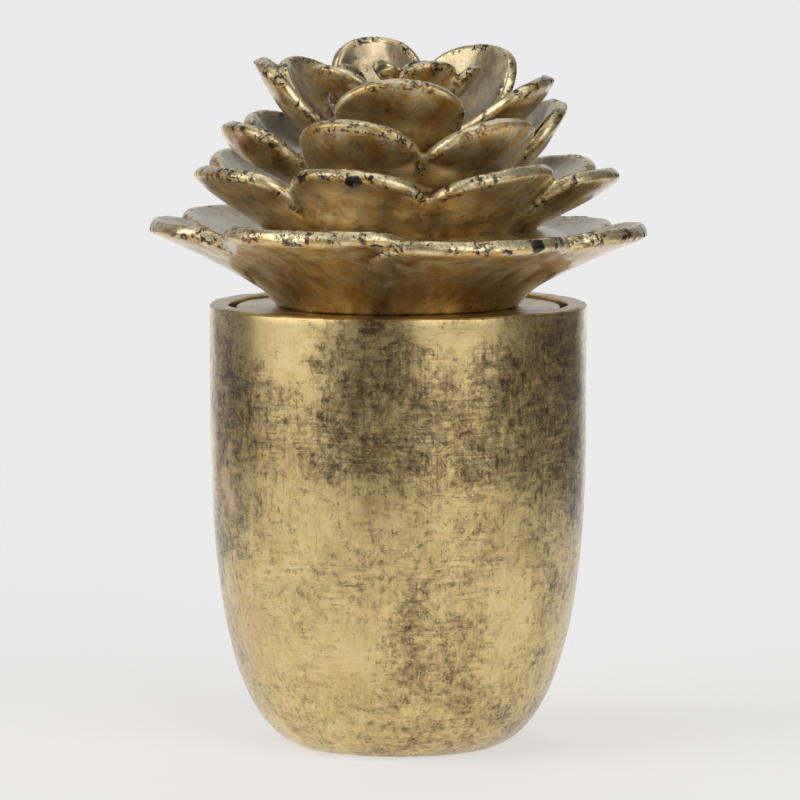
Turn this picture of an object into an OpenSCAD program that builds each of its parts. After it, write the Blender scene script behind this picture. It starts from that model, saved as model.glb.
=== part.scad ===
// Lidded pot with a succulent rosette on its lid.
// Millimetres, +Z up, origin at the centre of the face it stands on. The front is -Y.

/* [Pot] */
// Outer radius of the pot at its rim
pot_r = 50; // [48:0.5:52]
// Height of the rim above the table
pot_h = 117.5; // [115:0.5:122]
// Radius of the foot that the pot stands on
foot_r = 27.6; // [26.5:0.1:29]
// Wall thickness of the pot
wall = 5.5; // [4.5:0.5:6.5]
// Thickness of the pot's floor
floor_t = 7; // [5:0.5:10]

/* [Mouth and lid] */
// Radius of the recess that the lid drops into
mouth_r = 45; // [44.5:0.1:45.5]
// Radius of the lid's plate
lid_r = 43; // [42:0.1:44]
// How far the lid's top lies below the rim
lid_drop = 0.7; // [0.3:0.1:1.5]
// Thickness of the lid's plate
lid_t = 4.6; // [3.5:0.1:5.5]
// Radius of the opening inside the ledge
ledge_r = 41.6; // [41.2:0.1:41.8]
// Depth of the plug under the lid's plate
plug_h = 7; // [6:0.5:9]

/* [Rosette] */
// Radius of the bottom casting's neck
neck_r = 32; // [30:0.5:34]
// Height of the bottom casting, from lid to next seat
base_h = 20.7; // [19.5:0.1:22]
// Half the thickness of a petal at its lip
lip_t = 1.6; // [1.4:0.1:1.9]

/* [Fixings] */
// Radius of the stud that clamps the rosette to the lid
stud_r = 3; // [2.5:0.5:3]
// Radius of the felt pad under the foot
pad_r = 24; // [22:0.5:25]
// Thickness of the felt pad
pad_t = 2; // [1.5:0.1:3]

/* [Hidden] */
$fn = 96;

LEAF_GOLD = [0.78, 0.64, 0.36];
FELT = [0.16, 0.14, 0.12];
SILICONE = [0.85, 0.84, 0.80];
STEEL = [0.62, 0.62, 0.60];

foot_z = 0.3;                                 // the pad stands this far proud of the foot
lip_round = 0.9;                              // rounding of the rim's two edges
shoulder_z = 0.81 * pot_h;                    // the wall is upright above this height
lid_z = pot_h - lid_drop;                     // top of the lid's plate
ledge_z = lid_z - lid_t;                      // top of the ledge that the lid rests on
plug_r = ledge_r - 0.9;
plug_z = ledge_z - plug_h;
groove_t = 2.6;                               // height of the seal's groove around the plug
groove_z = ledge_z - 4.6;
groove_r = plug_r - 1.6;                      // radius of the groove's bottom
run_gap = 0.05;                               // running clearance between seal and groove

// Height and radius of the seats that the castings stand on, bottom to top, the bud's last
seat_rises = [0, base_h, base_h + 11.5, base_h + 21.5, base_h + 30.5, base_h + 35.5];
seat_z = [for (rise = seat_rises) lid_z + rise];
seat_r = [neck_r, 36, 27, 18.5, 11.5, 5.5];

// The stud and what is on it, in a pocket under the lid
hole_gap = 0.2;                               // between the stud and the holes it passes through
stud_top = seat_z[5] + 3.5;
pocket_r = 14;
pocket_h = 8;
pocket_z = plug_z + pocket_h;                 // face that the washer bears on
washer_t = 1.6;
lock_t = 1.6;
nut_t = 3.2;

// ---- The pot ----

// A cubic curve through a and d, pulled towards b and c
function cubic(a, b, c, d, t) =
    pow(1 - t, 3) * a + 3 * pow(1 - t, 2) * t * b + 3 * (1 - t) * t * t * c + pow(t, 3) * d;

belly_steps = 28;
// The outer wall below the shoulder, and the inner wall, which is the same curve drawn in
belly = [[pot_r, shoulder_z], [pot_r, 0.45 * pot_h], [0.944 * pot_r, 0.068 * pot_h], [foot_r, foot_z]];
function outer_wall(i) = cubic(belly[0], belly[1], belly[2], belly[3], i / belly_steps);
function inner_wall(i) = let (p = outer_wall(i), inner_r = pot_r - wall)
    [p[0] * inner_r / pot_r, foot_z + floor_t + (p[1] - foot_z) * (shoulder_z - floor_t) / shoulder_z];
function rounded(r, z, radius, from, to) = [for (a = [from:15:to]) [r + radius * sin(a), z + radius * cos(a)]];

module pot_profile() {
    inner_r = pot_r - wall;
    ledge_foot = plug_z - 0.6;
    polygon(concat(
        rounded(pot_r - lip_round, pot_h - lip_round, lip_round, 0, 90),
        [for (i = [0:belly_steps]) outer_wall(i)],
        [[pad_r + 0.2, foot_z], [pad_r + 0.2, pad_t], [0, pad_t], [0, foot_z + floor_t]],
        [for (i = [belly_steps:-1:0]) inner_wall(i)],
        [[inner_r, ledge_foot - (inner_r - ledge_r)], [ledge_r, ledge_foot]],
        [[ledge_r, ledge_z], [mouth_r, ledge_z]],
        rounded(mouth_r + lip_round, pot_h - lip_round, lip_round, -90, 0)
    ));
}

module pot_body() {
    color(LEAF_GOLD) rotate_extrude() pot_profile();
}

module foot_pad() {
    color(FELT) cylinder(r = pad_r, h = pad_t);
}

// ---- The lid ----

// A disc with a plug below it, which has a groove for the seal and a pocket for the nut
module lid_plate() {
    edge = 0.8;
    bevel = 0.4;
    color(LEAF_GOLD) difference() {
        union() {
            rotate_extrude() polygon(concat(
                [[0, lid_z]], rounded(lid_r - edge, lid_z - edge, edge, 0, 90),
                [[lid_r, ledge_z + bevel], [lid_r - bevel, ledge_z], [0, ledge_z]]
            ));
            translate([0, 0, plug_z]) cylinder(r = plug_r, h = plug_h);
        }
        translate([0, 0, groove_z]) difference() {
            cylinder(r = plug_r + 1, h = groove_t);
            cylinder(r = groove_r, h = groove_t);
        }
        translate([0, 0, plug_z - 1]) cylinder(r = pocket_r, h = pocket_h + 1);
        translate([0, 0, plug_z]) cylinder(r = stud_r + hole_gap, h = lid_t + plug_h + 1);
    }
}

// Lies in the plug's groove and closes the gap to the ledge with a soft edge
module lid_seal() {
    clear = 0.1;
    seal_t = groove_t - 2 * clear;
    inner_r = groove_r + run_gap;
    shoulder_r = plug_r + 0.3;
    color(SILICONE) translate([0, 0, groove_z + clear]) rotate_extrude() polygon([
        [inner_r, 0], [shoulder_r, 0], [ledge_r - clear, seal_t / 2], [shoulder_r, seal_t], [inner_r, seal_t]
    ]);
}

// ---- Castings of the rosette ----
// A casting is a ring of petals round a hub that is flat above and below. It is made of upright
// sections, side by side round the axis. Each section runs out along the petal's underside, round
// its lip, and back over its upper side. Between two petals the lip draws in to a notch.

across = 5;                                   // sections on each half of a petal
under_steps = 7;
over_steps = 6;

function direction(a) = [cos(a), sin(a)];

// How far a lip stands out of the notch: 1 in the middle of a petal, 0 at its sides
function lobe(q) = pow(max(0, 1 - pow(abs(q), 2.2)), 0.6);

// foot and head are the hub's edges [radius, height], below and above. rises are the underside's
// angles at the foot and at the lip, and dip is where the upper side aims as it meets the head.
function section(foot, head, notch, tip, rises, dip, lip, q) = let (
        rim = notch + lobe(q) * (tip - [lip, lip] - notch),
        ahead = direction(rises[1]),
        side = lip * [ahead[1], -ahead[0]],
        pull = 0.36 * norm(rim - foot),
        under = [foot, foot + pull * direction(rises[0]), rim + side - pull * ahead, rim + side],
        over = [rim - side, rim - side - pull * ahead, head + dip, head]
    ) concat(
        [for (i = [0:under_steps]) cubic(under[0], under[1], under[2], under[3], i / under_steps)],
        [for (a = [-54, -18, 18, 54]) rim + lip * direction(rises[1] + a)],
        [for (i = [0:over_steps]) cubic(over[0], over[1], over[2], over[3], i / over_steps)]
    );

// petals is a list of [azimuth, reach, height of the tip above the lid], in order round the axis
function wrapped(a) = a < 0 ? a + 360 : a;
function half_span(petals, i, j) = wrapped(petals[j][0] - petals[i][0]) / 2;

module casting(foot, head, notch, rises, dip, lip, petals) {
    n = len(petals);
    columns = [for (i = [0:n - 1], k = [-across:across - 1]) let (
            q = sin(90 * k / across),
            half = k < 0 ? half_span(petals, (i + n - 1) % n, i) : half_span(petals, i, (i + 1) % n),
            low = [notch[0], lid_z + notch[1]],
            tip = [petals[i][1], lid_z + petals[i][2]]
        ) [petals[i][0] + q * half, section(foot, head, low, tip, rises, dip, lip, q)]];
    count = len(columns);
    rows = len(columns[0][1]);
    skin = [for (c = columns, p = c[1]) [p[0] * cos(c[0]), p[0] * sin(c[0]), p[1]]];
    below = count * rows;
    above = below + 1;
    faces = [for (c = [0:count - 1]) let (here = c * rows, next = ((c + 1) % count) * rows) each concat(
        [[below, here, next]],
        [for (k = [0:rows - 2]) each [
            [here + k, here + k + 1, next + k + 1], [here + k, next + k + 1, next + k]
        ]],
        [[above, next + rows - 1, here + rows - 1]]
    )];
    polyhedron(concat(skin, [[0, 0, foot[1]], [0, 0, head[1]]]), faces);
}

// The casting that sits on seat i, with a clear hole for the stud
module whorl(i, notch, rises, dip, lip, petals) {
    foot = [seat_r[i], seat_z[i]];
    head = [seat_r[i + 1], seat_z[i + 1]];
    color(LEAF_GOLD) difference() {
        casting(foot, head, notch, rises, dip, lip, petals);
        translate([0, 0, seat_z[i] - 1]) cylinder(r = stud_r + hole_gap, h = head[1] - foot[1] + 2);
    }
}

module base_whorl() {
    whorl(0, [53, 19.5], [78, 27], [7, -5], lip_t + 0.2, [
        [-169, 66.3, 24.0], [-115, 65.5, 24.3], [-68, 65.0, 21.8], [-18, 67.5, 23.0],
        [38, 64.5, 21.5], [91, 63.5, 22.5], [143, 65.0, 24.5]
    ]);
}

module second_whorl() {
    whorl(1, [42, 33.5], [38, 52], [6, -2], lip_t, [
        [-159, 54.5, 38.5], [-105, 51.5, 39.5], [-54, 53.5, 39.5], [-10, 58.8, 37.5],
        [34, 59.5, 38.5], [90, 54.0, 39.0], [146, 56.0, 40.5]
    ]);
}

module third_whorl() {
    whorl(2, [34, 42], [32, 66], [6, 0], lip_t, [
        [-168, 46.5, 49.5], [-107, 44.0, 51.5], [-53, 46.5, 51.5], [6, 44.5, 54.5],
        [55, 44.0, 52.0], [103, 44.0, 52.0], [151, 43.5, 51.0]
    ]);
}

module fourth_whorl() {
    whorl(3, [25, 51.5], [28, 66], [5, 0], lip_t, [
        [-176, 38.0, 66.0], [-89, 34.0, 61.8], [-12, 41.5, 61.5],
        [43, 34.0, 68.5], [105, 28.0, 70.5], [150, 34.0, 65.5]
    ]);
}

module inner_whorl() {
    whorl(4, [12, 58], [35, 72], [2, 0], lip_t - 0.4, [
        [-148, 24.5, 64.5], [-56, 18.5, 65.5], [-12, 22.0, 64.0], [60, 16.0, 64.5], [162, 17.0, 64.0]
    ]);
}

// Screws down on the stud and clamps the whorls
module centre_bud() {
    bud_z = seat_z[5];
    above_lid = bud_z - lid_z;
    color(LEAF_GOLD) difference() {
        casting([seat_r[5], bud_z], [2, bud_z + 5], [4.6, above_lid + 5.5], [50, 100], [0.6, 0], 1.0, [
            [-100, 7.5, above_lid + 8.5], [20, 7, above_lid + 9], [140, 7, above_lid + 9.5]
        ]);
        translate([0, 0, bud_z - 1]) cylinder(r = stud_r, h = stud_top - bud_z + 1);
    }
}

// ---- Fixings under the lid ----

module centre_stud() {
    bottom = pocket_z - washer_t - lock_t - nut_t - 1;
    tip = 0.6;
    color(STEEL) rotate_extrude() polygon([
        [0, bottom], [stud_r - tip, bottom], [stud_r, bottom + tip],
        [stud_r, stud_top - tip], [stud_r - tip, stud_top], [0, stud_top]
    ]);
}

module ring(r, hole, z, h) {
    translate([0, 0, z]) difference() {
        cylinder(r = r, h = h);
        translate([0, 0, -1]) cylinder(r = hole, h = h + 2);
    }
}

module clamp_washer() {
    color(STEEL) ring(9, stud_r + hole_gap, pocket_z - washer_t, washer_t);
}

// A split ring, closed flat by the nut
module lock_washer() {
    split = 1;
    lock_z = pocket_z - washer_t - lock_t;
    color(STEEL) difference() {
        ring(5.9, stud_r + hole_gap, lock_z, lock_t);
        translate([0, -split / 2, lock_z - 1]) cube([8, split, lock_t + 2]);
    }
}

module clamp_nut() {
    across_corners = 11.5;
    nut_z = pocket_z - washer_t - lock_t - nut_t;
    color(STEEL) difference() {
        translate([0, 0, nut_z]) cylinder(d = across_corners, h = nut_t, $fn = 6);
        translate([0, 0, nut_z - 1]) cylinder(r = stud_r, h = nut_t + 2);
    }
}

pot_body();
foot_pad();
lid_plate();
lid_seal();
base_whorl();
second_whorl();
third_whorl();
fourth_whorl();
inner_whorl();
centre_bud();
centre_stud();
clamp_washer();
lock_washer();
clamp_nut();
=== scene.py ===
import math

import bpy
import numpy as np
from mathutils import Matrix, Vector, kdtree, noise


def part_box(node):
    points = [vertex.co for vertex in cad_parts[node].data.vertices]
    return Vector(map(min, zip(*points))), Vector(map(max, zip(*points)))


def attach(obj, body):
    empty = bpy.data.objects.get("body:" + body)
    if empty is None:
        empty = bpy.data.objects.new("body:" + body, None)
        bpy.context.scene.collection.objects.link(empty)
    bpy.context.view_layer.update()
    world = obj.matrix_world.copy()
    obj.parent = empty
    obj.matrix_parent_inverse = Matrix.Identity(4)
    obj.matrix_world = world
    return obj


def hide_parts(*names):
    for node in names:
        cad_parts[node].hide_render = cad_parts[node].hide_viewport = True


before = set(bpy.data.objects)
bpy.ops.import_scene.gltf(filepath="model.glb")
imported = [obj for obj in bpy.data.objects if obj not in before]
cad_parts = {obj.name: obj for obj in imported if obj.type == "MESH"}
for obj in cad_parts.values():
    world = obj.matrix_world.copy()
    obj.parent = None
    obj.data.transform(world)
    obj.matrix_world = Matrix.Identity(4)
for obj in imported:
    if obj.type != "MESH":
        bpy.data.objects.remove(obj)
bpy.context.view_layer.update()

MM = 0.001
ROUNDS = 256                     # segments of a turned piece
HUB_ROUNDS = 96                  # segments of a whorl's core, which is remeshed afterwards
SMOOTH_ANGLE = 40                # edges sharper than this, in degrees, are drawn sharp
FIXING_SMOOTH_ANGLE = 35


# ---- Places, in millimetres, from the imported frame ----

def box_mm(node):
    low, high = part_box(node)
    return np.array(low) * 1000, np.array(high) * 1000


pot_high = box_mm("pot_body")[1]
lid_low, lid_high = box_mm("lid_plate")
POT_R = pot_high[0]
POT_H = pot_high[2]
LID_Z = lid_high[2]
LID_R = lid_high[0]
PLUG_Z = lid_low[2]
WHORLS = ["base_whorl", "second_whorl", "third_whorl", "fourth_whorl", "inner_whorl", "centre_bud"]
SEAT_Z = [box_mm(node)[0][2] for node in WHORLS]


# ---- Camera, worked out from the ellipse of the pot's rim ----

LENS = 255.7
SENSOR = 36
CAMERA_PLACE = (0, -1.5, 0.245)
CAMERA_AIM = (0.0005, 0, 0.0915)

camera_data = bpy.data.cameras.new("camera")
camera_data.lens = LENS
camera_data.sensor_width = SENSOR
camera_data.clip_start = 0.05
camera_data.clip_end = 50
camera = bpy.data.objects.new("camera", camera_data)
bpy.context.scene.collection.objects.link(camera)
camera.location = CAMERA_PLACE
camera.rotation_euler = (Vector(CAMERA_AIM) - camera.location).to_track_quat("-Z", "Y").to_euler()
bpy.context.scene.camera = camera


# ---- Meshes ----

def make_object(name, points, faces, smooth_angle=None):
    """A mesh object from points in millimetres, all smooth apart from edges above smooth_angle."""
    mesh = bpy.data.meshes.new(name)
    mesh.from_pydata((np.asarray(points) * MM).tolist(), [], faces)
    mesh.validate()
    mesh.polygons.foreach_set("use_smooth", [True] * len(mesh.polygons))
    if smooth_angle:
        mesh.set_sharp_from_angle(angle=math.radians(smooth_angle))
    piece = bpy.data.objects.new(name, mesh)
    bpy.context.scene.collection.objects.link(piece)
    return piece


def set_attribute(piece, name, values):
    attribute = piece.data.attributes.new(name, "FLOAT", "POINT")
    attribute.data.foreach_set("value", np.asarray(values, np.float32))


def turned(profile, rounds=ROUNDS):
    """Points and faces of a closed profile [(radius, z)] turned round the axis.
    The profile runs down the outside of the solid, so that the faces look outwards.
    One that starts and ends on the axis is closed by it, and any other makes a ring."""
    profile = [tuple(p) for p in profile]
    on_axis = profile[0][0] == 0 and profile[-1][0] == 0
    rim = profile[1:-1] if on_axis else profile
    angles = np.arange(rounds) * 2 * math.pi / rounds
    points = [(r * math.cos(a), r * math.sin(a), z) for r, z in rim for a in angles]
    faces = []
    rows = len(rim)
    for i in range(rows - 1 if on_axis else rows):
        here, there = i * rounds, (i + 1) % rows * rounds
        for k in range(rounds):
            n = (k + 1) % rounds
            faces.append((there + k, there + n, here + n, here + k))
    if on_axis:
        for row, (_, z) in ((0, profile[0]), (rows - 1, profile[-1])):
            pole = len(points)
            points.append((0, 0, z))
            for k in range(rounds):
                edge = (row * rounds + k, row * rounds + (k + 1) % rounds)
                faces.append((pole, *(edge if row == 0 else edge[::-1])))
    return np.array(points, float), faces


def cubic(a, b, c, d, t):
    """Points of a Bezier curve with these control points, at each t from 0 to 1."""
    t = np.asarray(t)[..., None]
    a, b, c, d = (np.asarray(p, float) for p in (a, b, c, d))
    return (1 - t) ** 3 * a + 3 * (1 - t) ** 2 * t * b + 3 * (1 - t) * t ** 2 * c + t ** 3 * d


def arc(centre, radius, start, end, steps=6):
    """Points of an arc between two angles in degrees."""
    return [
        (centre[0] + radius * math.cos(math.radians(a)), centre[1] + radius * math.sin(math.radians(a)))
        for a in np.linspace(start, end, steps + 1)
    ]


def line(a, b, steps):
    """The points between a and b, without the two ends."""
    return [tuple(np.array(a) + (np.array(b) - a) * i / steps) for i in range(1, steps)]


def uneven(points, sizes, seed):
    """How far each point moves, from smooth noise of the given [(amount, size)] in millimetres."""
    shift = np.zeros(len(points))
    for k, (amount, size) in enumerate(sizes):
        offset = Vector((seed * 7.3 + k * 3.1, seed * 2.9, k * 5.7))
        shift += amount * np.array([noise.noise(Vector(p) / size + offset) for p in points])
    return shift


def smoothstep(x, low, high):
    t = np.clip((x - low) / (high - low), 0, 1)
    return t * t * (3 - 2 * t)


# ---- The pot ----

FOOT_R = 27.6
FOOT_Z = 0.3                     # the foot is this far off the table, on its pad
WALL = 5.5
FLOOR_T = 7
MOUTH_R = 45
LEDGE_R = 41.6
LEDGE_Z = LID_Z - 4.6
LEDGE_FOOT_Z = PLUG_Z - 0.6      # where the ledge starts to slope back to the wall
PAD_R = 24.2
PAD_EDGE = 1.2                   # chamfer round the pad's recess
PAD_T = 2
LIP_ROUND = 0.9
SHOULDER_Z = 0.81 * POT_H        # the wall is upright above this
BELLY_STEPS = 72
INNER_SKIP = 3                   # the inside has one ring for each three outside
POLE_R = 0.6                     # the last ring before the axis


def pot_profile():
    """From the axis inside, up the inner wall, over the rim and down the outside to the axis again."""
    belly = cubic((POT_R, SHOULDER_Z), (POT_R, 0.45 * POT_H), (0.944 * POT_R, 0.068 * POT_H),
                  (FOOT_R, FOOT_Z), np.linspace(0, 1, BELLY_STEPS + 1))
    inner_r = POT_R - WALL
    inner = np.column_stack([
        belly[:, 0] * inner_r / POT_R,
        FOOT_Z + FLOOR_T + (belly[:, 1] - FOOT_Z) * (SHOULDER_Z - FLOOR_T) / SHOULDER_Z,
    ])
    floor_z = FOOT_Z + FLOOR_T
    profile = [(0, floor_z), (POLE_R, floor_z)] + [tuple(p) for p in inner[::-INNER_SKIP]]
    profile += [(inner_r, LEDGE_FOOT_Z - (inner_r - LEDGE_R)), (LEDGE_R, LEDGE_FOOT_Z), (LEDGE_R, LEDGE_Z)]
    profile += [(MOUTH_R, LEDGE_Z)]
    lip_z = POT_H - LIP_ROUND
    profile += arc((MOUTH_R + LIP_ROUND, lip_z), LIP_ROUND, 180, 90)
    profile += line(profile[-1], (POT_R - LIP_ROUND, POT_H), 4)
    profile += arc((POT_R - LIP_ROUND, lip_z), LIP_ROUND, 90, 0)
    profile += line((POT_R, lip_z), tuple(belly[0]), 16)
    profile += [tuple(p) for p in belly]
    profile += [(PAD_R + PAD_EDGE, FOOT_Z), (PAD_R, FOOT_Z), (PAD_R, PAD_T), (POLE_R, PAD_T), (0, PAD_T)]
    return profile


# a rough outline of the outer wall, to tell it from the inner one
WALL_Z = [0, 20, 60, 100]
WALL_R = [29, 42, 49.5, 50]
WALL_SHARE = 0.92
INSIDE_FOOT_R = 25
OFF_TABLE = 1
LIP_DEPTH = 0.5

points, faces = turned(pot_profile())
radius = np.hypot(points[:, 0], points[:, 1])
outer_wall = (radius > INSIDE_FOOT_R) & (points[:, 2] > OFF_TABLE)
outer_wall &= radius > WALL_SHARE * np.interp(points[:, 2], WALL_Z, WALL_R)
shift = np.where(outer_wall, uneven(points, [(0.22, 22), (0.10, 8)], 1), 0)
points[:, 0] += points[:, 0] / np.maximum(radius, 1) * shift
points[:, 1] += points[:, 1] / np.maximum(radius, 1) * shift
rim_top = points[:, 2] > POT_H - LIP_DEPTH
points[:, 2] += np.where(rim_top, uneven(points, [(0.25, 12), (0.12, 4)], 2) - 0.1, 0)
pot = make_object("pot_shell", points, faces, SMOOTH_ANGLE)
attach(pot, "pot")
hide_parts("pot_body")


# ---- The lid's plate ----

HOLE_R = 3.2                     # clear hole for the stud, in the lid and in the castings
LID_EDGE = 0.8                   # rounding at the top
LID_BEVEL = 0.4                  # and at the ledge
PLUG_R = LEDGE_R - 0.9
PLUG_BEVEL = 0.6
GROOVE_R = PLUG_R - 1.6
GROOVE_Z = LEDGE_Z - 4.6
GROOVE_T = 2.6
POCKET_R = 14
POCKET_TOP = PLUG_Z + 8
POCKET_ROUND = 0.3
POCKET_BEVEL = 0.5
SHOWN_R = 33                     # the whorl's foot covers the lid's face inside this


def lid_profile():
    """From the hole over the top, round the edge and the plug, and back through the pocket."""
    profile = [(HOLE_R, POCKET_TOP), (POCKET_R - POCKET_ROUND, POCKET_TOP)]
    profile += [(POCKET_R, POCKET_TOP - POCKET_ROUND)]
    profile += [(POCKET_R, PLUG_Z + POCKET_BEVEL), (POCKET_R + POCKET_BEVEL, PLUG_Z)]
    profile += [(PLUG_R - PLUG_BEVEL, PLUG_Z), (PLUG_R, PLUG_Z + PLUG_BEVEL)]
    profile += [(PLUG_R, GROOVE_Z), (GROOVE_R, GROOVE_Z)]
    profile += [(GROOVE_R, GROOVE_Z + GROOVE_T), (PLUG_R, GROOVE_Z + GROOVE_T)]
    profile += [(PLUG_R, LEDGE_Z), (LID_R - LID_BEVEL, LEDGE_Z), (LID_R, LEDGE_Z + LID_BEVEL)]
    profile += arc((LID_R - LID_EDGE, LID_Z - LID_EDGE), LID_EDGE, 0, 90)
    profile += [(LID_R * 0.9, LID_Z), (34, LID_Z), (20, LID_Z), (HOLE_R, LID_Z)]
    return profile[::-1]


points, faces = turned(lid_profile())
radius = np.hypot(points[:, 0], points[:, 1])
top = (points[:, 2] > LID_Z - 0.3) & (radius > SHOWN_R)
points[:, 2] += np.where(top, uneven(points, [(0.15, 15), (0.05, 5)], 3) - 0.05, 0)
lid = make_object("lid_disc", points, faces, SMOOTH_ANGLE)
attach(lid, "lid")
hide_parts("lid_plate")


# ---- The whorls ----

STATIONS = 44                    # along a petal
ACROSS = 30                      # across a petal
CURVE_STEPS = 400                # to measure the centre line
OUTLINE_STEPS = 500              # to measure the distance from the edge
LAST_STATION = 0.9992            # just short of the tip, where the width is 0
OUTLINE_POWER = 2.1              # how square the tip's outline is
LIP_POWER = 2.8                  # how square the lip's section is
BODY = (2.5, 9)                  # distance from the edge where the lip passes into the blade


class Petal:
    """A spoon-shaped petal: its centre line is a curve in the upright plane of its azimuth.

    A style gives, for all petals of a ring:
    root [radius, z, rise in degrees], tip_rise in degrees, pulls (how far the curve runs straight at
    its two ends), cup (how far the blade bends across, in radians), lip (half its thickness), edge
    (how broad the lip's rounding is), keel and heel (thickening of the root below and above), dish
    (how far the blade is sunk), widest and root_width (the outline), blunt (how blunt the tip is),
    uneven (the surface's noise) and fill (how far the creases between petals are filled).
    """

    def __init__(self, style, azimuth, reach, height, width, roll=0.0, cup=None, blunt=None):
        root_r, root_z, root_rise = style["root"]
        tip_rise = math.radians(style["tip_rise"])
        root_rise = math.radians(root_rise)
        lip = style["lip"]
        end = np.array([reach - 0.7 * lip * math.sin(tip_rise), LID_Z + height - lip * math.cos(tip_rise)])
        start = np.array([root_r, root_z])
        span = np.linalg.norm(end - start)
        ahead0 = np.array([math.cos(root_rise), math.sin(root_rise)])
        ahead1 = np.array([math.cos(tip_rise), math.sin(tip_rise)])
        pull = style["pulls"]
        t = np.sin(np.linspace(0, 0.5, STATIONS) * math.pi) * LAST_STATION
        curve = [start, start + pull[0] * span * ahead0, end - pull[1] * span * ahead1, end]
        centre = cubic(*curve, t)
        fine = cubic(*curve, np.linspace(0, 1, CURVE_STEPS))
        lengths = np.concatenate([[0], np.cumsum(np.linalg.norm(np.diff(fine, axis=0), axis=1))])
        along = np.interp(t, np.linspace(0, 1, CURVE_STEPS), lengths)
        total = lengths[-1]
        x = along / total

        blunt = style["blunt"] if blunt is None else blunt
        widest, root_width = style["widest"], style["root_width"]

        def half_width(x):
            grow = root_width + (1 - root_width) * np.sin(0.5 * math.pi * np.clip(x / widest, 0, 1)) ** 1.3
            y = np.clip((x - widest) / (1 - widest), 0, 1)
            return 0.5 * width * grow * (1 - y ** blunt) ** (1 / OUTLINE_POWER)

        w = half_width(x)
        tangent = np.gradient(centre, along, axis=0)
        tangent /= np.linalg.norm(tangent, axis=1)[:, None]
        a = math.radians(azimuth)
        out = np.array([math.cos(a), math.sin(a), 0])
        side = np.array([-math.sin(a), math.cos(a), 0])
        up = np.array([0, 0, 1.0])
        p = centre[:, :1] * out + centre[:, 1:] * up
        normal = -tangent[:, 1:] * out + tangent[:, :1] * up
        lateral = np.broadcast_to(side, normal.shape)
        turn = math.radians(roll) * smoothstep(x, 0.1, 0.8)[:, None]
        lateral, normal = (lateral * np.cos(turn) + normal * np.sin(turn),
                           normal * np.cos(turn) - lateral * np.sin(turn))

        s = np.sin(np.linspace(-0.5, 0.5, ACROSS) * math.pi)
        v = w[:, None] * s
        bend = (style["cup"] if cup is None else cup) / (0.5 * width)
        angle = bend * v
        lift = (1 - np.cos(angle)) / bend
        shift = np.sin(angle) / bend
        middle = p[:, None] + lateral[:, None] * shift[..., None] + normal[:, None] * lift[..., None]
        face = normal[:, None] * np.cos(angle)[..., None] - lateral[:, None] * np.sin(angle)[..., None]

        outline_x = np.linspace(0, 1, OUTLINE_STEPS)
        outline = np.column_stack([outline_x * total, half_width(outline_x)])
        # distance from the petal's edge, measured on the flat petal
        flat = np.stack([np.broadcast_to(along[:, None], v.shape), np.abs(v)], -1)
        gap = np.linalg.norm(flat[:, :, None] - outline[None, None], axis=-1).min(-1)
        edge = np.clip(gap / style["edge"], 0, 1)
        rounding = (1 - (1 - edge) ** LIP_POWER) ** (1 / LIP_POWER)
        body = smoothstep(gap, *BODY)
        deep = (1 - x)[:, None] ** 2
        below = lip * rounding * (1 - 0.10 * body) + body * deep * style["keel"]
        above = lip * rounding * (1 - style["dish"] * body) + body * deep * style["heel"]
        under = middle - face * below[..., None]
        over = middle + face * above[..., None]

        ring = np.concatenate([under, over[:, -2:0:-1]], axis=1)
        n = ring.shape[1]
        self.points = ring.reshape(-1, 3)
        self.faces = [
            (i * n + k, i * n + (k + 1) % n, (i + 1) * n + (k + 1) % n, (i + 1) * n + k)
            for i in range(STATIONS - 1) for k in range(n)
        ]
        self.faces.append(tuple(range(n))[::-1])
        self.faces.append(tuple((STATIONS - 1) * n + k for k in range(n)))
        # what the material needs to know at each point
        self.gap = np.concatenate([gap, gap[:, -2:0:-1]], axis=1).reshape(-1)
        self.along = np.broadcast_to(x[:, None], ring.shape[:2]).reshape(-1)
        self.face = np.concatenate([face, face[:, -2:0:-1]], axis=1).reshape(-1, 3)


def smoothed(points, edges, rounds, amount=0.5):
    """Points after some rounds of moving each towards the mean of its neighbours."""
    count = np.bincount(edges.ravel(), minlength=len(points))[:, None]
    for _ in range(rounds):
        total = np.zeros_like(points)
        for axis in range(3):
            total[:, axis] = (np.bincount(edges[:, 0], points[edges[:, 1], axis], len(points))
                              + np.bincount(edges[:, 1], points[edges[:, 0], axis], len(points)))
        points = points + amount * (total / count - points)
    return points


POLISH_ROUNDS = 2                # smoothing of the remeshed skin that keeps its volume
POLISH_IN, POLISH_OUT = 0.55, -0.57
CREASE_ROUNDS = (25, 30)         # how far the skin round a crease is averaged, to find it and to fill it
CREASE_DEPTH = (0.10, 0.45)      # depth of a crease that is filled, from not at all to fully
HOLLOW_ROUNDS = 40               # and how far it is averaged to tell the material its hollows


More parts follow.
